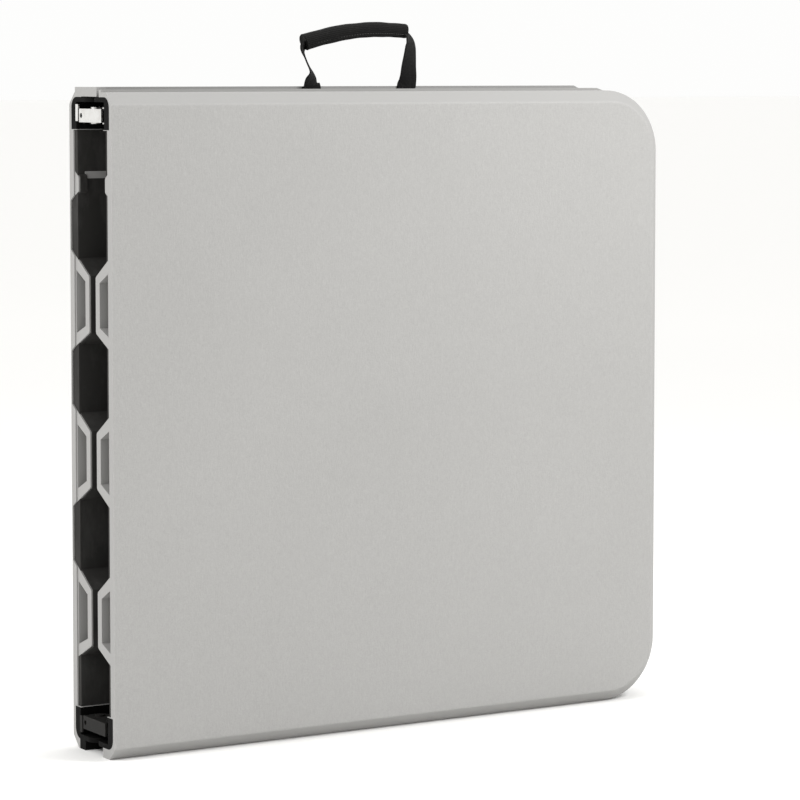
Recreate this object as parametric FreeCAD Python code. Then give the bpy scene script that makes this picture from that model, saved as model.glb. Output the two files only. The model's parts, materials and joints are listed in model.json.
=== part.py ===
import FreeCAD, Part
import os

os.makedirs("parts", exist_ok=True)
V = FreeCAD.Vector

# Fold-in-half table, folded and standing on a long edge. Millimetres, +Z up.
# u runs from the fold edge to the outer end, v from the mid plane out to a tabletop face, z up.
# The far half is built first (row y = v) and the near half is its mirror image.
LONG, SIDE = 607.0, 605.4                  # one half, so the open table is 1214 x 605
TOP = 610.0                                # height of the carry lip; hinges and legs centre on it
FACE = 43.0             # v of the tabletop face: two halves fold to 86
RIM_FOOT = 18.0         # v of the rim's free edge
SLAB = 27.0             # v of the slab's underside
RIM = 10.0              # rim thickness
CORNER, HOLLOW_CORNER = 60.0, 40.0         # corner radius at the outer end, outside and in the hollow
BEVEL, SOFT = 11.3, 3.0  # bevel round the tabletop and its softened edges
FOLD = 0.5              # u of the fold edge: 1 mm seam when open
MID_U = (LONG + FOLD) / 2                  # u of the row's origin
LIP_T, LIP_END, LIP_RUN = 4.0, 542.0, 20.0  # raised lip along the carry side
LIP_Z = {"far": TOP, "near": 607.8}
LINER_FACE, LINER_BACK, LINER_END, LINER_SKIN, LINER_SET = 29.0, 34.5, 40.0, 1.2, 1.4
LUG_SET, LUG_END, LUG_CREST, LUG_WALL, LUG_FLOOR, LUG_BED = 1.8, 40.0, 6.6, 8.0, 38.0, 1.5
LUGS = ((85.0, 99.0, 150.0, 169.0), (229.0, 245.0, 296.0, 314.0), (373.0, 387.0, 438.0, 456.0))
BUMP = (511.0, 515.0, 528.0, 533.0)        # shallow stop beside the top opening
BUMP_CREST, BUMP_END, RIB_Z = 27.0, 10.0, 526.5
DIP_V, DIP_RUN, DIP_END = 41.5, 5.0, 12.0  # dips in the far fold edge between the stops, filled black
HOOD = (10.0, -13.5, 31.0, 601.4)          # far half's cover over the top hinge: u end, v, v, underside
LINER_Z = (39.0, 571.0)                    # the liner runs between the two hinge notches

PU, PV = 12.0, 12.0     # fold pivot of each half
LINK_Z = (578.0, 590.3)
LINK_T, LINK_HALF, LINK_R = 2.0, 22.6, 11.5
LINK_HOLE = (18.5, 2.3)                    # v and radius of the hole in the link
PIN_R, RUN = 3.0, 0.05  # fold pin radius and running clearance on radius
NOTCH = (31.0, 571.5, 601.0, 38.5)         # hinge notch: depth in u, bottom, top, floor
NOTCH_R = 10.0                             # rounded shoulder of the notch and its cap
ROOF_Z = 596.5                             # underside of the cap's roof
EAR_PLATE = (25.0, 30.0, 579.0, 594.3, 1.5)  # steel keeper let into the far caps
HEEL = (18.0, 29.5)                        # the far bottom cap also ends the rim
CAP_CLEAR = 16.3        # room round the fold pivot for the turning link

RAIL = (30.0, 567.0, 3.0, SLAB, 573.0, 593.0)
RAIL_T = 1.6
SCREW_U = (70.0, 300.0, 530.0)
SCREW_R, SCREW_HEAD_R, SCREW_HEAD_T, SCREW_END = 2.0, 4.5, 1.8, 33.0

LEG_U, LEG_V = 555.0, 12.0                 # leg pivot
NEAR_LEGS, FAR_LEGS = (55.0, 555.0), (78.0, 532.0)
TUBE_R, BORE_R, END_PIN_R = 11.0, 9.8, 5.0
UPPER = 385.0                              # upper leg tube, from the pivot
LOWER = (30.0, 406.0, 8.75, 7.55)          # lower leg tube: start, end, radius, bore
FOOT = (389.0, 410.0)                      # foot cap; open height is 410 + 300 + 27 = 737
BUSH = (375.0, 385.0, 387.5, 8.85)
TRAVEL = 300.0
BUTTON_S, BUTTON_R, BUTTON_OUT = 55.0, 3.2, 8.6
BAR_S, BAR_R, BAR_BORE = 165.0, 7.0, 5.6   # crossbar of the leg frame
EAR_S, EAR_R, EAR_T, EAR_Z = 187.0, 8.0, 3.0, 37.0
BRACE_L, BRACE_R, BRACE_Z, BEND = 240.0, 3.5, 32.0, 14.0
MID_Z = TOP / 2
CLIP = (405.0, 425.0, 10.0, 15.0)

STRAP_U, STRAP_W, STRAP_T = (241.0, 346.0), 20.5, 1.6
STRAP_V, STRAP_Z = 17.2, 611.0             # line the carry strap swings about
GRIP_R = 7.0
GRIP_LINE = ((230.0, 651.0), (291.0, 662.8), (345.0, 662.0))
# each leg's (offset in u, half width, z), from the rim up into the grip
LEG_LINES = (((-0.5, 9.0, 611.4), (-0.6, 2.4, 620.3), (-5.2, 1.5, 630.6), (-9.6, 1.6, 639.0),
              (-10.0, 2.6, 648.0)),
             ((0.0, 10.2, 611.4), (2.1, 8.4, 625.0), (3.5, 7.1, 636.0), (4.1, 6.0, 645.0),
              (2.0, 4.5, 652.0), (-3.0, 3.5, 658.0)))


def at(u, v, z):
    return V(u - MID_U, v, z)


def box(u0, u1, v0, v1, z0, z1):
    return Part.makeBox(u1 - u0, v1 - v0, z1 - z0, at(u0, v0, z0))


def rod(u, v, z, r, length, way):
    return Part.makeCylinder(r, length, at(u, v, z), way)


ALONG_U, ALONG_V, ALONG_Z = V(1, 0, 0), V(0, 1, 0), V(0, 0, 1)


def near(shape):
    return shape.mirror(V(0, 0, 0), ALONG_V)


def low(shape):
    return shape.mirror(V(0, 0, MID_Z), ALONG_Z)


def prism(points, way):
    return Part.Face(Part.makePolygon(points + points[:1])).extrude(way)


def save(node, shape):
    shape.removeSplitter().exportStep("parts/" + node + ".step")


def outline(inset, r, u0, v, depth):
    """Plate that is square at the fold edge and rounded by r at the outer end."""
    z0, z1, u1 = inset, SIDE - inset, LONG - inset
    k = r * (1 - 0.5 ** 0.5)
    edges = [
        Part.LineSegment(at(u0, v, z0), at(u1 - r, v, z0)),
        Part.Arc(at(u1 - r, v, z0), at(u1 - k, v, z0 + k), at(u1, v, z0 + r)),
        Part.LineSegment(at(u1, v, z0 + r), at(u1, v, z1 - r)),
        Part.Arc(at(u1, v, z1 - r), at(u1 - k, v, z1 - k), at(u1 - r, v, z1)),
        Part.LineSegment(at(u1 - r, v, z1), at(u0, v, z1)),
        Part.LineSegment(at(u0, v, z1), at(u0, v, z0)),
    ]
    return Part.Face(Part.Wire([e.toShape() for e in edges])).extrude(V(0, depth, 0))


def rim_edges(shape, v, u_min):
    """Edges lying in the plane v that are not the fold edge."""
    found = []
    for e in shape.Edges:
        b = e.BoundBox
        flat = abs(b.YMin - v) < 0.01 and abs(b.YMax - v) < 0.01
        if flat and b.XMax > u_min - MID_U + 1:
            found.append(e)
    return found


def stop_face(z0, c0, c1, z1, crest, u, root=LINER_BACK):
    """Trapezoid outline of a stop, as a face across the fold edge."""
    pts = [at(u, root, z0), at(u, crest, c0), at(u, crest, c1), at(u, root, z1)]
    return Part.Face(Part.makePolygon(pts + pts[:1]))


def soften(body, crest):
    ridge = [e for e in body.Edges if e.BoundBox.XLength > 5 and e.BoundBox.YMax < crest + 1]
    return body.makeFillet(SOFT, ridge)


def lug(spec):
    """Raised stop at the fold edge with a deep pocket in its end."""
    face = stop_face(*spec, LUG_CREST, LUG_SET)
    body = soften(face.extrude(V(LUG_END - LUG_SET, 0, 0)), LUG_CREST)
    deep = LUG_WALL - LUG_BED
    hollow = stop_face(*spec, LUG_CREST, LUG_SET, LINER_BACK + deep).makeOffset2D(-LUG_WALL)
    return body.cut(hollow.extrude(V(LUG_FLOOR - LUG_SET, 0, 0)))


def bump():
    face = stop_face(*BUMP, BUMP_CREST, LUG_SET)
    return soften(face.extrude(V(BUMP_END - LUG_SET, 0, 0)), BUMP_CREST)


def liner_skin(spec, crest, end):
    """Black skin over one stop, set back from the stop's end face."""
    face = stop_face(*spec, crest, LUG_SET + LINER_SET)
    return face.makeOffset2D(LINER_SKIN).extrude(V(end - LUG_SET - LINER_SET, 0, 0))


def dips():
    """Shallow dips of the fold edge between one stop and the next."""
    stops = LUGS + (BUMP,)
    found = []
    for below, above in zip(stops, stops[1:]):
        z0, z1 = below[3], above[0]
        face = stop_face(z0, z0 + DIP_RUN, z1 - DIP_RUN, z1, DIP_V, FOLD)
        found.append(face.extrude(V(DIP_END - FOLD, 0, 0)))
    return found


def rib_band(u0):
    return box(u0, LINER_END + 1, LINER_FACE - 0.5, LINER_BACK + 1, RIB_Z, BUMP[3])


def shoulder(u0, u1):
    """Block with the notch's rounded shoulder, from the mid plane to the notch floor."""
    z0, z1, v1 = NOTCH[1:]
    k = NOTCH_R * (1 - 0.5 ** 0.5)
    edges = [
        Part.LineSegment(at(u0, 0, z0), at(u0, v1, z0)),
        Part.LineSegment(at(u0, v1, z0), at(u0, v1, z1 - NOTCH_R)),
        Part.Arc(at(u0, v1, z1 - NOTCH_R), at(u0, v1 - k, z1 - k), at(u0, v1 - NOTCH_R, z1)),
        Part.LineSegment(at(u0, v1 - NOTCH_R, z1), at(u0, 0, z1)),
        Part.LineSegment(at(u0, 0, z1), at(u0, 0, z0)),
    ]
    return Part.Face(Part.Wire([e.toShape() for e in edges])).extrude(V(u1 - u0, 0, 0))


def heel(u0):
    """Block that takes a cap right out to the rim's edge."""
    return box(u0, NOTCH[0], HEEL[0], HEEL[1], NOTCH[2] - 1, TOP)


def lip(z):
    """Raised lip along the carry side, run out at the rounded corner."""
    base = SIDE - 4.0
    pts = [at(FOLD, RIM_FOOT, base), at(FOLD, RIM_FOOT, z), at(LIP_END, RIM_FOOT, z),
           at(LIP_END + LIP_RUN, RIM_FOOT, base)]
    return prism(pts, V(0, LIP_T, 0))


def panel(side):
    """Half tabletop: bevelled skin, rim on three sides, stops and hinge notches at the fold edge."""
    body = outline(0, CORNER, FOLD, RIM_FOOT, FACE - RIM_FOOT)
    body = body.makeChamfer(BEVEL, rim_edges(body, FACE, FOLD))
    body = body.makeFillet(SOFT, rim_edges(body, FACE, FOLD) + rim_edges(body, FACE - BEVEL, FOLD))
    body = body.cut(outline(RIM, HOLLOW_CORNER, -1, 0, SLAB)).fuse(lip(LIP_Z[side]))
    body = body.cut(box(-1, LINER_END, 0, LINER_BACK, *LINER_Z))
    for spec in LUGS:
        body = body.fuse(lug(spec))
    body = body.fuse(bump()).fuse(rib_band(BUMP_END - 1))
    notch = shoulder(-1, NOTCH[0])
    body = body.cut(notch).cut(low(notch))
    if side == "far":
        body = body.cut(low(heel(-1))).fuse(box(FOLD, HOOD[0], *HOOD[1:], TOP))
        for dip in dips():
            body = body.cut(dip)
    for u in SCREW_U:
        hole = rod(u, 0, sum(RAIL[4:]) / 2, SCREW_R, SCREW_END, ALONG_V)
        body = body.cut(hole).cut(low(hole))
    if side == "far":
        for u in STRAP_U:
            body = body.cut(rod(u, 0, RIVET_Z, RIVET_R, RIVET_END, ALONG_V))
    return body


def edge_liner(side):
    """Black strip that lines the slab along the fold edge, wraps over the stops and fills the dips."""
    body = box(FOLD + LINER_SET, LINER_END, LINER_FACE, LINER_BACK, *LINER_Z)
    for spec in LUGS:
        body = body.fuse(liner_skin(spec, LUG_CREST, LUG_END))
    body = body.fuse(liner_skin(BUMP, BUMP_CREST, BUMP_END))
    body = body.cut(rib_band(BUMP_END - 1))
    for spec in LUGS + (BUMP,):
        crest, end = (BUMP_CREST, BUMP_END) if spec is BUMP else (LUG_CREST, LUG_END)
        core = soften(stop_face(*spec, crest, LUG_SET).extrude(V(end - LUG_SET, 0, 0)), crest)
        body = body.cut(core)
    body = body.common(box(FOLD, LINER_END, 0, LINER_BACK, *LINER_Z))
    for dip in dips() if side == "far" else ():
        body = body.fuse(dip.common(box(FOLD + LINER_SET, DIP_END, 0, DIP_V, *LINER_Z)))
    return body


def hinge_cap(side, end):
    """Moulded cap that fills the notch, roofs over the link and shrouds the pivot."""
    u1, z0 = NOTCH[:2]
    cap = shoulder(FOLD, u1)
    if (side, end) == ("far", "bottom"):
        cap = cap.fuse(heel(FOLD))
    cap = cap.cut(box(-1, u1 + 1, 0, PV + CAP_CLEAR, z0 - 1, ROOF_Z))
    corner = box(FOLD, PU, 0, PV, ROOF_Z - 1, TOP)
    cap = cap.cut(corner.cut(rod(PU, PV, ROOF_Z - 2, LINK_R, TOP - ROOF_Z, ALONG_Z)))
    return cap.cut(keeper()) if side == "far" else cap


def keeper():
    """Small steel plate let into the front of a cap, beside the link."""
    v0, v1, z0, z1, t = EAR_PLATE
    return box(FOLD, FOLD + t, v0, v1, z0, z1)


def hinge_link():
    """Folded steel channel that carries both fold pivots."""
    z0, z1 = LINK_Z
    link = box(FOLD, FOLD + LINK_T, -LINK_HALF, LINK_HALF, z0, z1)
    for z in (z0, z1 - LINK_T):
        flange = box(FOLD, PU, -PV - LINK_R + 2, PV + LINK_R - 2, z, z + LINK_T)
        flange = flange.fuse(box(PU, PU + LINK_R, -PV, PV, z, z + LINK_T))
        for v in (-PV, PV):
            flange = flange.fuse(rod(PU, v, z, LINK_R, LINK_T, ALONG_Z))
        link = link.fuse(flange)
    for v in (-PV, PV):
        link = link.cut(rod(PU, v, z0 - 1, PIN_R, z1 - z0 + 2, ALONG_Z))
    v, r = LINK_HOLE
    return link.cut(rod(0, v, (z0 + z1) / 2, r, LINK_T + 1, ALONG_U))


def hinge_pin():
    z0, z1 = LINK_Z
    head_r, head_t = 1.5 * PIN_R, 1.4
    pin = rod(PU, PV, z0, PIN_R, z1 - z0, ALONG_Z)
    for z in (z0 - head_t, z1):
        pin = pin.fuse(rod(PU, PV, z, head_r, head_t, ALONG_Z))
    return pin


def rail():
    """Steel side rail: box tube with the fold knuckle at one end and the leg pivot at the other."""
    u0, u1, v0, v1, z0, z1 = RAIL
    body = box(u0, u1, v0, v1, z0, z1)
    body = body.cut(box(u0 - 1, u1 + 1, v0 + RAIL_T, v1 - RAIL_T, z0 + RAIL_T, z1 - RAIL_T))
    gap = LINK_T + 0.3
    t0, t1 = LINK_Z[0] + gap, LINK_Z[1] - gap
    tongue = rod(PU, PV, t0, PV - v0, t1 - t0, ALONG_Z)
    tongue = tongue.fuse(box(PU, u0 + 20, v0, 2 * PV - v0, t0, t1))
    body = body.fuse(tongue).cut(rod(PU, PV, t0 - 1, PIN_R + RUN, t1 - t0 + 2, ALONG_Z))
    body = body.cut(rod(LEG_U, LEG_V, z0 - 1, END_PIN_R + RUN, 2 * RAIL_T, ALONG_Z))
    for u in SCREW_U:
        body = body.cut(rod(u, 0, (z0 + z1) / 2, SCREW_R, SCREW_END, ALONG_V))
    return body


def rail_screws():
    screws = []
    for u in SCREW_U:
        z = (RAIL[4] + RAIL[5]) / 2
        screw = rod(u, RAIL[2], z, SCREW_R, SCREW_END - RAIL[2], ALONG_V)
        head = rod(u, RAIL[2] - SCREW_HEAD_T, z, SCREW_HEAD_R, SCREW_HEAD_T, ALONG_V)
        screw = screw.fuse(head)
        screws += [screw, low(screw)]
    return Part.makeCompound(screws)


def leg_rod(start, end, z, r):
    """Cylinder along the leg, measured from its pivot towards the foot."""
    return rod(LEG_U - end, LEG_V, z, r, end - start, ALONG_U)


def pivot_tube():
    z0, plug, pin = 39.0, 6.0, 12.0
    z1 = TOP - z0
    tube = rod(LEG_U, LEG_V, z0, TUBE_R, z1 - z0, ALONG_Z)
    tube = tube.cut(rod(LEG_U, LEG_V, z0 + plug, BORE_R, z1 - z0 - 2 * plug, ALONG_Z))
    return tube.fuse(rod(LEG_U, LEG_V, z0 - pin, END_PIN_R, pin, ALONG_Z)).fuse(
        rod(LEG_U, LEG_V, z1, END_PIN_R, pin, ALONG_Z))


def button_hole(s, z, r, side):
    return rod(LEG_U - s, LEG_V, z, r, 2 * TUBE_R, V(0, 0, side))


def upper_leg(z, side):
    tube = leg_rod(0, UPPER, z, TUBE_R).cut(leg_rod(-1, UPPER + 1, z, BORE_R))
    tube = tube.cut(rod(LEG_U, LEG_V, z - 2 * TUBE_R, TUBE_R, 4 * TUBE_R, ALONG_Z))
    for s in (BUTTON_S, BUTTON_S + TRAVEL):
        tube = tube.cut(button_hole(s, z, BUTTON_R + 0.2, side))
    return tube


def bushing(z):
    s0, s1, s2, r = BUSH
    body = leg_rod(s0, s1, z, BORE_R).fuse(leg_rod(s1, s2, z, TUBE_R))
    return body.cut(leg_rod(s0 - 1, s2 + 1, z, r))


def crossbar(zs):
    u = LEG_U - BAR_S
    bar = rod(u, LEG_V, zs[0], BAR_R, zs[1] - zs[0], ALONG_Z)
    bar = bar.cut(rod(u, LEG_V, zs[0], BAR_BORE, zs[1] - zs[0], ALONG_Z))
    for z in zs:
        bar = bar.cut(leg_rod(0, UPPER, z, TUBE_R))
    return bar


def brace_bracket():
    """Two ears on a strip welded along the crossbar."""
    u, ear_u, strip_t, strip_h = LEG_U - BAR_S, LEG_U - EAR_S, 3.0, 4.0
    z0, z1 = MID_Z - EAR_Z - EAR_T, MID_Z + EAR_Z + EAR_T
    body = box(u - BAR_R - strip_t, u, LEG_V - strip_h, LEG_V + strip_h, z0, z1)
    for z in (z0, z1 - EAR_T):
        ear = box(ear_u, u, LEG_V - EAR_R, LEG_V + EAR_R, z, z + EAR_T)
        body = body.fuse(ear.fuse(rod(ear_u, LEG_V, z, EAR_R, EAR_T, ALONG_Z)))
    body = body.cut(rod(u, LEG_V, z0 - 1, BAR_R, z1 - z0 + 2, ALONG_Z))
    return body.cut(rod(ear_u, LEG_V, z0 - 1, BRACE_R + RUN, z1 - z0 + 2, ALONG_Z))


def brace():
    """U-shaped wire with its two ends turned out into the bracket's ears."""
    ear_u, end = LEG_U - EAR_S, LEG_U - EAR_S - BRACE_L
    out, k = EAR_Z + EAR_T + 2.0, BEND * (1 - 0.5 ** 0.5)
    half = BRACE_Z
    edges = []
    for way in (1, -1):
        z = MID_Z + way * half
        edges.append(Part.LineSegment(at(end + BEND, LEG_V, z), at(ear_u, LEG_V, z)))
        edges.append(Part.Arc(at(end, LEG_V, z - way * BEND), at(end + k, LEG_V, z - way * k),
                              at(end + BEND, LEG_V, z)))
    edges.append(Part.LineSegment(at(end, LEG_V, MID_Z - half + BEND), at(end, LEG_V, MID_Z + half - BEND)))
    path = Part.Wire(Part.__sortEdges__([e.toShape() for e in edges]))
    ring = Part.Wire(Part.makeCircle(BRACE_R, at(ear_u, LEG_V, MID_Z + half), ALONG_U))
    wire = path.makePipeShell([ring], True, True)
    for way in (1, -1):
        z = MID_Z + way * half
        wire = wire.fuse(rod(ear_u, LEG_V, z, BRACE_R, out - half, V(0, 0, way)))
        wire = wire.fuse(Part.makeSphere(BRACE_R, at(ear_u, LEG_V, z)))
    return wire


def brace_clip():
    """Hook under the slab that takes the wire's end bar when the leg is open."""
    u0, u1, v0, half = CLIP
    wall, lip, gap = 6.7, 2.5, 3.2
    body = box(u0, u1, v0, SLAB, MID_Z - half, MID_Z + half)
    body = body.cut(box(u0 - 1, u1 - wall, v0 + lip, SLAB - 1.5, MID_Z - half, MID_Z + half))
    return body.cut(box(u0 - 1, u0 + gap, v0 - 1, SLAB - 1.5, MID_Z - half, MID_Z + half))


def lower_leg(z, side):
    s0, s1, r, bore = LOWER
    tube = leg_rod(s0, s1, z, r).cut(leg_rod(s0 - 1, s1 + 1, z, bore))
    return tube.cut(button_hole(BUTTON_S, z, BUTTON_R + RUN, side))


def foot_cap(z):
    s0, s1 = FOOT
    cap = leg_rod(s0, s1, z, TUBE_R)
    tip = [e for e in cap.Edges if abs(e.BoundBox.XMax - (LEG_U - s1 - MID_U)) < 0.01]
    cap = cap.makeFillet(2.0, tip)
    return cap.cut(leg_rod(s0 - 1, LOWER[1], z, LOWER[2]))


def button(z, side):
    """Spring button, pressed flush with the lower tube's skin."""
    flange_t, flange_r = 1.0, BUTTON_R + 1.0
    way = V(0, 0, side)
    u = LEG_U - BUTTON_S
    body = rod(u, LEG_V, z, BUTTON_R, BUTTON_OUT, way)
    crown = [e for e in body.Edges
             if abs((e.BoundBox.ZMin if side > 0 else e.BoundBox.ZMax) - (z + side * BUTTON_OUT)) < 0.01]
    return body.makeFillet(1.4, crown).fuse(rod(u, LEG_V, z, flange_r, flange_t, way))


RIVET_Z, RIVET_R, RIVET_HEAD, RIVET_END = 600.5, 2.2, 4.5, 28.0
TAB_Z = 594.5


def strap_tab(u):
    """End of the webbing, riveted flat on the rim's free edge."""
    tab = box(u - STRAP_W / 2, u + STRAP_W / 2, RIM_FOOT - STRAP_T, RIM_FOOT, TAB_Z, TOP)
    return tab.cut(rod(u, 0, RIVET_Z, RIVET_R, RIVET_END, ALONG_V))


def strap_rivet(u):
    v0 = RIM_FOOT - STRAP_T
    head = rod(u, v0 - 1.5, RIVET_Z, RIVET_HEAD, 1.5, ALONG_V)
    return head.fuse(rod(u, v0, RIVET_Z, RIVET_R, RIVET_END - v0, ALONG_V))


def strap():
    """Two rising legs of webbing, each wide at the rim and gathered where it enters the grip."""
    legs = []
    v0 = STRAP_V - STRAP_T / 2
    for u, line in zip(STRAP_U, LEG_LINES):
        pts = [at(u + du - w, v0, z) for du, w, z in line]
        pts += [at(u + du + w, v0, z) for du, w, z in reversed(line)]
        legs.append(prism(pts, V(0, STRAP_T, 0)))
    return Part.makeCompound(legs)


def grip():
    """Arched, rolled grip that the webbing legs run into."""
    arc = Part.Arc(*[at(u, STRAP_V, z) for u, z in GRIP_LINE])
    path = Part.Wire(arc.toShape())
    start = path.Edges[0].tangentAt(path.Edges[0].FirstParameter)
    u0, z0 = GRIP_LINE[0]
    ring = Part.Wire(Part.makeCircle(GRIP_R, at(u0, STRAP_V, z0), start))
    return path.makePipeShell([ring], True, True).cut(strap())


def leg_parts(side, place, zs, way):
    """Leg frame of one half: two telescoping legs, their pivot tube, crossbar and brace."""
    save("pivot_tube_" + side, place(pivot_tube()))
    save("crossbar_" + side, place(crossbar(zs)))
    save("brace_bracket_" + side, place(brace_bracket()))
    save("brace_" + side, place(brace()))
    for z, name, out in zip(zs, ("low", "high"), (way, -way)):
        tag = side + "_" + name
        save("upper_leg_" + tag, place(upper_leg(z, out)))
        save("leg_bushing_" + tag, place(bushing(z)))
        save("lower_leg_" + tag, place(lower_leg(z, out)))
        save("foot_cap_" + tag, place(foot_cap(z)))
        save("snap_button_" + tag, place(button(z, out)))


def half_parts(side, place):
    """Tabletop half with everything fixed to it."""
    save("panel_" + side, place(panel(side)))
    save("edge_liner_" + side, place(edge_liner(side)))
    save("rail_screws_" + side, place(rail_screws()))
    save("brace_clip_" + side, place(brace_clip()))
    for name, turn in (("top", lambda s: s), ("bottom", low)):
        save("side_rail_" + side + "_" + name, place(turn(rail())))
        save("hinge_cap_" + side + "_" + name, place(turn(hinge_cap(side, name))))
        save("fold_pin_" + side + "_" + name, place(turn(hinge_pin())))


half_parts("far", lambda s: s)
half_parts("near", near)
leg_parts("far", lambda s: s, FAR_LEGS, 1)
leg_parts("near", near, NEAR_LEGS, -1)
save("hinge_link_top", hinge_link())
save("hinge_link_bottom", low(hinge_link()))
save("hinge_keeper_top", keeper())
save("hinge_keeper_bottom", low(keeper()))
for tag, u_mid in zip(("left", "right"), STRAP_U):
    save("strap_tab_" + tag, strap_tab(u_mid))
    save("strap_rivet_" + tag, strap_rivet(u_mid))
save("carry_strap", strap())
save("carry_grip", grip())
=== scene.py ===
import json
import math

import bmesh
import bpy
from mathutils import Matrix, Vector


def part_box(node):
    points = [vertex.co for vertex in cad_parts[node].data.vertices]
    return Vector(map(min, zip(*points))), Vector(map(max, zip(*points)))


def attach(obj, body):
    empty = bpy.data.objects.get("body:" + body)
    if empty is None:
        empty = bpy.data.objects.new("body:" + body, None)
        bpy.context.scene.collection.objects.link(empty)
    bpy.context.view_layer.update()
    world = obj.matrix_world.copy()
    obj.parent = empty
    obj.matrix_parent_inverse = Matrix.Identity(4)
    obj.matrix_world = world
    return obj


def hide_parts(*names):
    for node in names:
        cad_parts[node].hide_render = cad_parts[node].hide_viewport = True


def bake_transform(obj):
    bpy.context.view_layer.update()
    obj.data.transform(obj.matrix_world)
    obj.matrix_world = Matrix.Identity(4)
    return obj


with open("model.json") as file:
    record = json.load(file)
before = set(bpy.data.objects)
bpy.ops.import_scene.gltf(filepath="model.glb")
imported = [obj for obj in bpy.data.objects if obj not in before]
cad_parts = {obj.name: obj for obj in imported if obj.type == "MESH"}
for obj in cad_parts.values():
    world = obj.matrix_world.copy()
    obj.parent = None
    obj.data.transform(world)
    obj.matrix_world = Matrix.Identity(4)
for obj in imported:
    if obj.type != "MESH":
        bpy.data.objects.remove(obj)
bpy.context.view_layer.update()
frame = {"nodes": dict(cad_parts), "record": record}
NODES = frame["nodes"]

# The record's frame: X from the fold edge to the outer end, Y through the thickness, Z up, metres.
FACE_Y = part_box("panel_far")[1].y


# ---------------------------------------------------------------- materials
class Nodes:
    """Small helper that adds and links shader nodes."""

    def __init__(self, name):
        self.mat = bpy.data.materials.new(name)
        self.mat.use_nodes = True
        self.tree = self.mat.node_tree
        self.bsdf = self.tree.nodes["Principled BSDF"]

    def add(self, kind, inputs=(), **props):
        node = self.tree.nodes.new(kind)
        for key, value in props.items():
            setattr(node, key, value)
        for key, value in dict(inputs).items():
            self.put(node.inputs[key], value)
        return node

    def put(self, socket, value):
        if isinstance(value, bpy.types.NodeSocket):
            self.tree.links.new(value, socket)
        else:
            socket.default_value = value

    def coords(self, scale=(1, 1, 1), turn=(0, 0, 0), source="Object"):
        tex = self.add("ShaderNodeTexCoord")
        return self.add("ShaderNodeMapping", {"Vector": tex.outputs[source], "Scale": scale,
                                              "Rotation": turn}).outputs["Vector"]

    def noise(self, scale, vector=None, detail=2.0, rough=0.5):
        return self.add("ShaderNodeTexNoise", {"Vector": vector or self.coords(), "Scale": scale,
                                               "Detail": detail, "Roughness": rough}).outputs["Fac"]

    def math(self, op, a, b=0.0, clamp=False):
        node = self.add("ShaderNodeMath", {0: a, 1: b}, operation=op)
        node.use_clamp = clamp
        return node.outputs[0]

    def remap(self, value, a, b, c, d):
        return self.add("ShaderNodeMapRange", {"Value": value, "From Min": a, "From Max": b,
                                               "To Min": c, "To Max": d}).outputs["Result"]

    def blend(self, factor, a, b):
        node = self.add("ShaderNodeMix", data_type="RGBA")
        self.put(node.inputs[0], factor)
        self.put(node.inputs[6], a)
        self.put(node.inputs[7], b)
        return node.outputs[2]

    def bump(self, height, distance, strength=1.0, under=None):
        inputs = {"Height": height, "Distance": distance, "Strength": strength}
        if under is not None:
            inputs["Normal"] = under
        return self.add("ShaderNodeBump", inputs).outputs["Normal"]

    def finish(self, **inputs):
        for key, value in inputs.items():
            self.put(self.bsdf.inputs[key.replace("_", " ")], value)
        return self.mat


def grey(v, warm=0.0):
    return (v, v * (1 - 0.006 - warm * 0.4), v * (1 - 0.02 - warm), 1)


PLAIN_GRAIN = 0.265   # the grain value that stands for a plain surface


def panel_plastic():
    """Blow-moulded polyethylene: moulded grain on the two tabletop faces, plain on rims and underside."""
    n = Nodes("panel_plastic")
    tex = n.add("ShaderNodeTexCoord").outputs["Object"]
    xyz = n.add("ShaderNodeSeparateXYZ", {"Vector": tex}).outputs
    face = n.remap(n.math("ABSOLUTE", xyz["Y"]), FACE_Y - 0.0012, FACE_Y - 0.0002, 0.0, 1.0)
    upright = n.noise(1.0, n.coords((900, 900, 210)), 3.0, 0.6)
    across = n.noise(1.0, n.coords((260, 260, 900)), 2.0, 0.6)
    pebble = n.add("ShaderNodeTexVoronoi", {"Vector": n.coords(), "Scale": 620.0}).outputs["Distance"]
    grain = n.math("ADD", n.math("MULTIPLY", upright, 0.6), n.math("MULTIPLY", across, 0.3))
    grain = n.math("ADD", grain, n.math("MULTIPLY", pebble, 0.25))
    grain = n.math("ADD", n.math("MULTIPLY", grain, face), n.remap(face, 0.0, 1.0, PLAIN_GRAIN, 0.0))
    cloud = n.noise(5.0, detail=3.0)
    scuff = n.noise(70.0, n.coords((1, 1, 0.4)), 5.0, 0.7)
    tone = n.remap(n.math("ADD", n.math("MULTIPLY", grain, 0.8), n.math("MULTIPLY", cloud, 0.2)),
                   0.15, 0.81, 0.0, 1.0)
    base = n.blend(tone, grey(0.285, 0.015), grey(0.381, 0.015))
    base = n.blend(n.remap(scuff, 0.62, 0.8, 0.0, 0.2), base, grey(0.41, 0.01))
    rough = n.remap(n.math("ADD", grain, scuff), 0.2, 1.4, 0.48, 0.66)
    fine = n.noise(1400.0, detail=2.0)
    normal = n.bump(fine, 0.00006, 0.5, n.bump(grain, 0.0003, 0.75))
    n.bsdf.inputs["Specular IOR Level"].default_value = 0.4
    return n.finish(Base_Color=base, Roughness=rough, Normal=normal)


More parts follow.
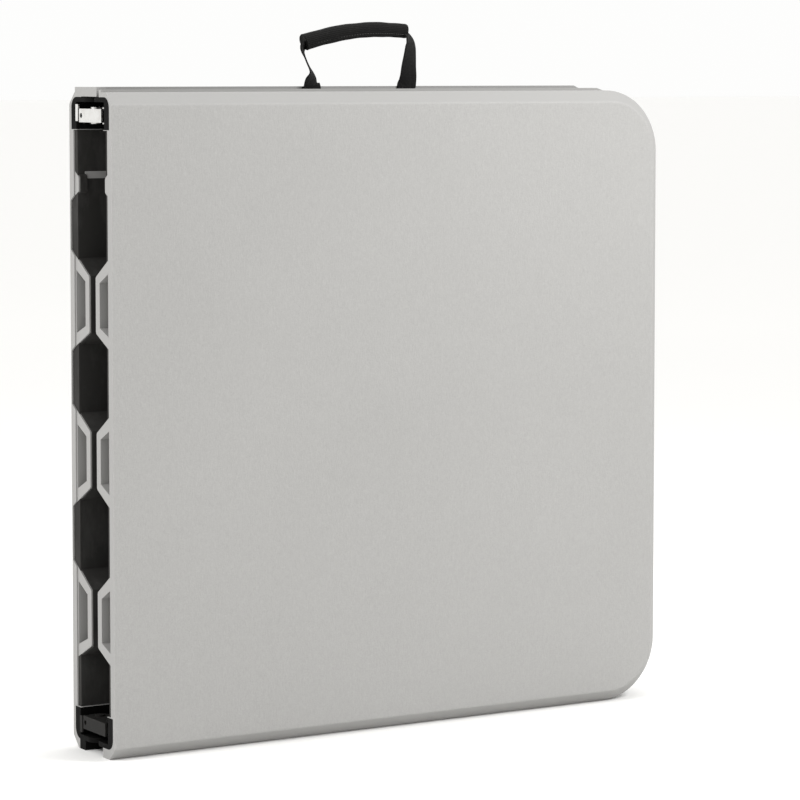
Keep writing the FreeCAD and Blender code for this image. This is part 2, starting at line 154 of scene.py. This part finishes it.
def moulded(name, tone, rough, scale=900.0, depth=0.00008):
    """Injection-moulded plastic or rubber with a fine spark-eroded grain and light handling marks."""
    n = Nodes(name)
    n.bsdf.inputs["Specular IOR Level"].default_value = 0.06
    grain = n.noise(scale, detail=3.0, rough=0.6)
    marks = n.noise(55.0, n.coords((1, 1, 0.35)), 5.0, 0.7)
    base = n.blend(n.remap(marks, 0.45, 0.75, 0.0, 1.0), grey(tone, 0.06), grey(tone * 1.7, 0.04))
    return n.finish(Base_Color=base, Roughness=n.remap(marks, 0.3, 0.75, rough, rough + 0.16),
                    Normal=n.bump(grain, depth, 0.8))


def powder_coat(name, tone):
    """Powder coating over steel: orange peel, with the coat rubbed a little brighter in streaks."""
    n = Nodes(name)
    peel = n.noise(420.0, detail=2.0, rough=0.55)
    fleck = n.noise(2200.0, detail=1.0)
    rub = n.noise(38.0, n.coords((0.5, 1, 1)), 5.0, 0.75)
    base = n.blend(n.remap(rub, 0.52, 0.78, 0.0, 1.0), grey(tone, 0.0), grey(tone * 1.8, 0.01))
    normal = n.bump(fleck, 0.00003, 0.5, n.bump(peel, 0.00012, 0.7))
    n.bsdf.inputs["Coat Weight"].default_value = 0.25
    n.bsdf.inputs["Coat Roughness"].default_value = 0.3
    return n.finish(Base_Color=base, Roughness=n.remap(rub, 0.3, 0.8, 0.42, 0.55), Normal=normal)


def zinc(name, tone, stretch):
    """Bright zinc plate on pressed steel: rolling lines, cloudy passivation, small stains."""
    n = Nodes(name)
    lines = n.noise(1.0, n.coords(stretch), 4.0, 0.65)
    cloud = n.noise(90.0, detail=4.0, rough=0.6)
    stain = n.noise(320.0, detail=3.0, rough=0.7)
    base = n.blend(n.remap(cloud, 0.35, 0.7, 0.0, 1.0), grey(tone * 0.86, 0.03), grey(tone, 0.0))
    base = n.blend(n.remap(stain, 0.64, 0.8, 0.0, 0.6), base, grey(tone * 0.35, 0.12))
    rough = n.remap(n.math("ADD", lines, cloud), 0.6, 1.4, 0.24, 0.42)
    n.bsdf.inputs["Metallic"].default_value = 1.0
    return n.finish(Base_Color=base, Roughness=rough, Normal=n.bump(lines, 0.00003, 0.7))


END_PITCH, PICK_PITCH = 0.0016, 0.0014


def webbing(name):
    """Flat polypropylene webbing: a twill of ribs from the ribbon's own u, v in metres."""
    n = Nodes(name)
    tex = n.add("ShaderNodeTexCoord").outputs["UV"]
    uv = n.add("ShaderNodeSeparateXYZ", {"Vector": tex}).outputs
    across, along = uv["X"], uv["Y"]
    end = n.math("SINE", n.math("MULTIPLY", across, math.tau / END_PITCH))
    skew = n.math("MULTIPLY", n.math("PINGPONG", across, 0.005), 0.8)
    pick = n.math("SINE", n.math("MULTIPLY", n.math("ADD", along, skew), math.tau / PICK_PITCH))
    weave = n.math("MULTIPLY", n.math("ADD", end, 1.0), n.math("ADD", pick, 1.0))
    weave = n.math("MULTIPLY", weave, 0.25)
    fuzz = n.noise(2600.0, detail=2.0)
    wear = n.noise(160.0, detail=4.0, rough=0.7)
    base = n.blend(weave, grey(0.004, 0.05), grey(0.014, 0.04))
    base = n.blend(n.remap(wear, 0.55, 0.8, 0.0, 0.4), base, grey(0.028, 0.03))
    n.bsdf.inputs["Specular IOR Level"].default_value = 0.15
    n.bsdf.inputs["Sheen Weight"].default_value = 0.04
    n.bsdf.inputs["Sheen Roughness"].default_value = 0.4
    normal = n.bump(fuzz, 0.00005, 0.4, n.bump(weave, 0.00035, 0.9))
    return n.finish(Base_Color=base, Roughness=n.remap(weave, 0.0, 1.0, 0.9, 0.66), Normal=normal)


def thread():
    """Twisted sewing thread."""
    n = Nodes("thread")
    twist = n.noise(3000.0, n.coords((1, 1, 0.3)), 2.0)
    return n.finish(Base_Color=n.blend(twist, grey(0.02, 0.05), grey(0.06, 0.03)),
                    Roughness=n.remap(twist, 0.3, 0.7, 0.6, 0.8), Normal=n.bump(twist, 0.00004, 0.6))


def floor_material():
    """Pale studio floor, lighter far away so that it runs into the backdrop."""
    n = Nodes("studio_floor")
    cloud = n.noise(1.5, detail=2.0)
    away = n.add("ShaderNodeVectorMath", {0: n.coords()}, operation="LENGTH").outputs["Value"]
    near = n.blend(cloud, grey(0.90, 0.0), grey(0.93, 0.0))
    return n.finish(Base_Color=n.blend(n.remap(away, 1.2, 5.0, 0.0, 1.0), near, grey(0.985, 0.0)),
                    Roughness=n.remap(cloud, 0.3, 0.7, 0.85, 0.95))


FINISHES = {
    "panel_plastic": panel_plastic(),
    "black_plastic": moulded("black_plastic", 0.0035, 0.6),
    # Painted shade: the edge liner is a black sheet laid inside the fold edge and over the stops, where
    # there is only shade between the two halves; its tone is set to the darkness of that shade.
    "edge_liner": moulded("edge_liner_plastic", 0.03, 0.6),
    "black_nylon": moulded("black_nylon", 0.006, 0.55, 1300.0, 0.00005),
    "foot_rubber": moulded("foot_rubber", 0.012, 0.75, 500.0, 0.00014),
    "frame_paint": powder_coat("frame_paint", 0.045),
    "wire_steel": powder_coat("wire_steel", 0.06),
    "zinc_steel": zinc("zinc_steel", 0.86, (120, 60, 2600)),
    # Painted shade: dark_zinc darkens the bottom hinge's link, keeper and pins, the same zinc-plated parts
    # as the top hinge, to stand for the shade at the foot of the fold edge.
    "dark_zinc": moulded("dark_zinc", 0.016, 0.45, 1300.0, 0.00003),
    "bright_steel": zinc("bright_steel", 0.72, (1400, 1400, 1400)),
}
SLOT_OF = {s["node"]: s["material_slot"] for s in frame["record"]["subparts"]}


def finish_cad():
    """Give each CAD node its slot's finish; the webbing pieces are replaced further down."""
    for name, obj in NODES.items():
        # Edge liner nodes take the liner's painted-shade finish, a dark sheet standing in for the shade
        # inside the fold edge.
        mat = FINISHES.get("edge_liner" if name.startswith("edge_liner") else SLOT_OF[name])
        if mat is None:
            continue
        obj.data.materials.clear()
        obj.data.materials.append(mat)


# ---------------------------------------------------------------- carry handle
def smooth_path(points, steps):
    """Even points along a Catmull-Rom line through points, each an (x, y, z, width, twist) row."""
    rows = [points[0]] + points + [points[-1]]
    out = []
    for i in range(1, len(rows) - 2):
        for k in range(steps):
            t = k / steps
            a, b, c, d = rows[i - 1:i + 3]
            out.append([0.5 * (2 * q + (r - p) * t + (2 * p - 5 * q + 4 * r - s) * t * t
                               + (3 * q - p - 3 * r + s) * t ** 3) for p, q, r, s in zip(a, b, c, d)])
    out.append(list(points[-1]))
    return out


RIBBON_T = 0.0016
EDGE = [(-1, 0), (-0.985, 0.7), (-0.9, 1), (-0.45, 0.94), (0, 0.97), (0.45, 0.94), (0.9, 1), (0.985, 0.7)]


def ribbon_ring(width, thick):
    """Section of flat webbing: bead-like selvedges and a slightly hollow middle."""
    half = [(a * width / 2, b * thick / 2) for a, b in EDGE]
    return half + [(-a, -b) for a, b in half]


def add_ribbon(bm, uv_layer, rows, thick=RIBBON_T):
    """Sweep the webbing's section along rows; twist 0 lays its width along X."""
    rings, travelled = [], 0.0
    for i, row in enumerate(rows):
        here = Vector(row[:3])
        ahead = Vector(rows[min(i + 1, len(rows) - 1)][:3]) - Vector(rows[max(i - 1, 0)][:3])
        along = ahead.normalized()
        if i:
            travelled += (here - Vector(rows[i - 1][:3])).length
        side = Vector((math.cos(row[4]), math.sin(row[4]), 0))
        side = (side - along * side.dot(along)).normalized()
        out = along.cross(side)
        section = ribbon_ring(row[3], thick)
        ring = [bm.verts.new(here + side * a + out * b) for a, b in section]
        rings.append((ring, travelled, section))
    for (r0, t0, s0), (r1, t1, s1) in zip(rings, rings[1:]):
        count = len(r0)
        for k in range(count):
            j = (k + 1) % count
            face = bm.faces.new((r0[k], r0[j], r1[j], r1[k]))
            corners = (s0[k][0], t0), (s0[j][0], t0), (s1[j][0], t1), (s1[k][0], t1)
            for loop, (a, t) in zip(face.loops, corners):
                loop[uv_layer].uv = (a, t)
    for ring in (rings[0][0], rings[-1][0][::-1]):
        bm.faces.new(ring[::-1])


def mesh_object(name, bm, mat, levels=0):
    bmesh.ops.recalc_face_normals(bm, faces=bm.faces)
    mesh = bpy.data.meshes.new(name)
    bm.to_mesh(mesh)
    bm.free()
    for p in mesh.polygons:
        p.use_smooth = True
    mesh.materials.append(mat)
    obj = bpy.data.objects.new(name, mesh)
    bpy.context.scene.collection.objects.link(obj)
    if levels:
        mod = obj.modifiers.new("smooth", "SUBSURF")
        mod.levels = mod.render_levels = levels
    return obj


# How each leg of the webbing leaves the rim: millimetres along X and up from the rim, and its twist.
LEFT_LEG = [(-0.2, 1.2, 0.25), (-0.4, 3.5, 0.44), (0.0, 8.0, 0.60), (-0.2, 12.0, 0.85),
            (-1.4, 16.0, 1.02), (-4.8, 23.0, 1.04), (-7.4, 29.0, 1.03), (-8.7, 33.0, 0.92),
            (-8.8, 37.0, 0.80), (-6.5, 41.5, 0.70)]
RIGHT_LEG = [(1.2, 1.5, 0.02), (2.6, 9.0, 0.14), (3.2, 18.0, 0.27), (4.4, 28.5, 0.42), (5.0, 37.0, 0.53),
             (4.0, 43.0, 0.65), (0.6, 48.5, 0.80), (-4.0, 52.0, 0.90)]
# The grip's middle line, millimetres along X from the left leg and up from the rim.
GRIP = [(-8.6, 41.3), (-4.0, 42.7), (12.9, 46.8), (31.8, 50.6), (49.6, 52.8), (67.3, 54.0), (82.9, 53.8),
        (97.3, 53.2), (105.1, 52.5)]
GRIP_RADIUS, GRIP_TAPER = 0.0076, 0.0012
GRIP_GIRTH, GRIP_TURNS = 0.041, 28


def leg_rows(x, y, foot, rim, wide, line):
    """Flat down the tab, then along the free line; a twist turns the width away from X."""
    rows = [(x, y, foot, wide, 0.0), (x, y, (foot + rim) / 2, wide, 0.0), (x, y, rim - 0.0005, wide, 0.0)]
    return rows + [(x + dx / 1000, y, rim + dz / 1000, wide, twist) for dx, dz, twist in line]


def build_handle():
    """The free webbing from the two tabs to the grip, blended across the rim it swings about."""
    tabs = [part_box("strap_tab_" + s) for s in ("left", "right")]
    web = webbing("webbing")
    bm = bmesh.new()
    uv_layer = bm.loops.layers.uv.new("UVMap")
    y = (tabs[0][0].y + tabs[0][1].y) / 2
    foot, rim = tabs[0][0].z, tabs[0][1].z
    left, right = [(t[0].x + t[1].x) / 2 for t in tabs]
    wide = tabs[0][1].x - tabs[0][0].x
    left_leg = leg_rows(left, y, foot, rim, wide, LEFT_LEG)
    right_leg = leg_rows(right, y, foot, rim, wide, RIGHT_LEG)
    for leg in (left_leg, right_leg):
        add_ribbon(bm, uv_layer, smooth_path(leg, 8))
    strap = mesh_object("webbing_strap", bm, web, 1)
    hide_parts("carry_strap", "strap_tab_left", "strap_tab_right")
    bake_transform(strap)
    build_grip(web, y, left, rim)


def grip_section(r, turns, phase):
    """Rolled webbing seen end on: an oval with a lapped seam."""
    pts = []
    for k in range(turns):
        a = math.tau * k / turns + phase
        lap = 0.12 * max(0.0, math.cos(a + 2.2)) ** 12 - 0.10 * max(0.0, math.cos(a + 2.5)) ** 18
        ridge = 0.035 * math.cos(3 * a)
        pts.append((r * 0.94 * math.cos(a) * (1 + lap + ridge), r * 1.04 * math.sin(a) * (1 + lap + ridge)))
    return pts


def build_grip(web, y, left, rim):
    """The rolled and sewn grip: a slightly wavy oval tube, pinched and hollowed at both ends."""
    line = smooth_path([(left + dx / 1000, y, rim + dz / 1000, 0, 0) for dx, dz in GRIP], 12)
    bm = bmesh.new()
    uv_layer = bm.loops.layers.uv.new("UVMap")
    rings, count, travelled = [], GRIP_TURNS, 0.0
    wrap = GRIP_GIRTH / count
    total = len(line) - 1
    for i, row in enumerate(line):
        here = Vector(row[:3])
        along = (Vector(line[min(i + 1, total)][:3]) - Vector(line[max(i - 1, 0)][:3])).normalized()
        out = Vector((0, 1, 0))
        lift = along.cross(out).normalized()
        if i:
            travelled += (here - Vector(line[i - 1][:3])).length
        s = i / total
        ends = min(1.0, min(s, 1 - s) / 0.05)
        pinch = 0.84 + 0.16 * ends ** 0.5
        wave = 1 + 0.018 * math.sin(21 * s + 0.6) + 0.012 * math.sin(47 * s)
        r = (GRIP_RADIUS - GRIP_TAPER * s) * pinch * wave
        section = grip_section(r, count, 0.3 * s)
        rings.append(([bm.verts.new(here + out * a + lift * b) for a, b in section], travelled))
    for (r0, t0), (r1, t1) in zip(rings, rings[1:]):
        for k in range(count):
            j = (k + 1) % count
            face = bm.faces.new((r0[k], r0[j], r1[j], r1[k]))
            for loop, (a, t) in zip(face.loops, ((k, t0), (k + 1, t0), (k + 1, t1), (k, t1))):
                loop[uv_layer].uv = (a * wrap, t)
    for ring, inward in ((rings[0][0], 1), (rings[-1][0], -1)):
        hub = sum((v.co for v in ring), Vector()) / count
        inner = [bm.verts.new(v.co.lerp(hub, 0.35) + Vector((0.0014 * inward, 0, 0))) for v in ring]
        for k in range(count):
            j = (k + 1) % count
            bm.faces.new((ring[k], ring[j], inner[j], inner[k]))
        bm.faces.new(inner)
    grip = mesh_object("webbing_grip", bm, web, 1)
    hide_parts("carry_grip")
    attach(grip, "carry_handle")
    stitch_grip(line)


STITCH = (0.00085, 0.00035, 0.00035)
SEAM_Y, SEAM_LIFT = 0.0064, 0.0069


def stitch_grip(line):
    """Two rows of thread along the grip's seam, as small raised stitches."""
    bm = bmesh.new()
    total = len(line) - 1
    across = Vector((0, 1, 0))
    for row_angle in (-2.55, -1.95):
        for i in range(4, total - 4, 2):
            here, there = Vector(line[i][:3]), Vector(line[i + 1][:3])
            along = (there - here).normalized()
            lift = along.cross(across).normalized()
            cos, sin = math.cos(row_angle), math.sin(row_angle)
            spot = (here + there) / 2 + across * (SEAM_Y * cos) + lift * (SEAM_LIFT * sin)
            out = (across * cos + lift * sin).normalized()
            made = bmesh.ops.create_uvsphere(bm, u_segments=8, v_segments=6, radius=1.0)["verts"]
            side = along.cross(out).normalized()
            for v in made:
                c = v.co.copy()
                v.co = spot + along * c.x * STITCH[0] + out * c.y * STITCH[1] + side * c.z * STITCH[2]
    threads = mesh_object("grip_stitching", bm, thread())
    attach(threads, "carry_handle")


# ---------------------------------------------------------------- studio
WORLD, KEY, LEFT, TOP = 0.985, 10.5, 36, 8   # backdrop strength, then the three lamps' watts
FLOOR_HALF = 60.0


def studio():
    """Pale floor and backdrop, with three soft round lamps."""
    scene = bpy.context.scene
    world = bpy.data.worlds.new("studio")
    world.use_nodes = True
    world.node_tree.nodes["Background"].inputs[0].default_value = (1.0, 1.0, 0.992, 1)
    world.node_tree.nodes["Background"].inputs[1].default_value = WORLD
    scene.world = world
    mesh = bpy.data.meshes.new("floor")
    s = FLOOR_HALF
    mesh.from_pydata([(-s, -s, 0), (s, -s, 0), (s, s, 0), (-s, s, 0)], [], [(0, 1, 2, 3)])
    mesh.materials.append(floor_material())
    floor = bpy.data.objects.new("floor", mesh)
    scene.collection.objects.link(floor)
    area("key", (0.75, -0.85, 1.15), (0.15, 0, 0.45), 0.5, KEY)
    area("left", (-2.6, 0.1, 1.9), (-0.3, 0, 0.5), 0.9, LEFT)
    area("top", (0.3, 0.2, 2.2), (0.1, 0, 0.5), 1.2, TOP)
    scene.view_settings.view_transform = "Standard"
    scene.view_settings.look = "None"


def area(name, place, target, size, power):
    """A round lamp at place, turned to target."""
    data = bpy.data.lights.new(name, "AREA")
    data.shape = "DISK"
    data.size, data.energy = size, power
    lamp = bpy.data.objects.new(name, data)
    lamp.location = place
    lamp.rotation_euler = (Vector(target) - Vector(place)).to_track_quat("-Z", "Y").to_euler()
    lamp.visible_camera = False
    bpy.context.scene.collection.objects.link(lamp)


CAMERA_PLACE = (-1.6140, -2.6850, 0.6251)
CAMERA_YAW, CAMERA_PITCH = math.radians(31.402), math.radians(4.2)
SENSOR, LENS, SHIFT_UP = 36.0, 147.85, -0.1106


def camera():
    """The main view, three quarters on to the tabletop and the fold edge."""
    data = bpy.data.cameras.new("photo_view")
    data.sensor_width, data.lens, data.shift_y = SENSOR, LENS, SHIFT_UP
    data.clip_start, data.clip_end = 0.05, 100
    cam = bpy.data.objects.new("photo_view", data)
    cam.location = CAMERA_PLACE
    ahead = Vector((math.sin(CAMERA_YAW) * math.cos(CAMERA_PITCH),
                    math.cos(CAMERA_YAW) * math.cos(CAMERA_PITCH), -math.sin(CAMERA_PITCH)))
    cam.rotation_euler = ahead.to_track_quat("-Z", "Y").to_euler()
    bpy.context.scene.collection.objects.link(cam)
    bpy.context.scene.camera = cam


finish_cad()
build_handle()
studio()
camera()
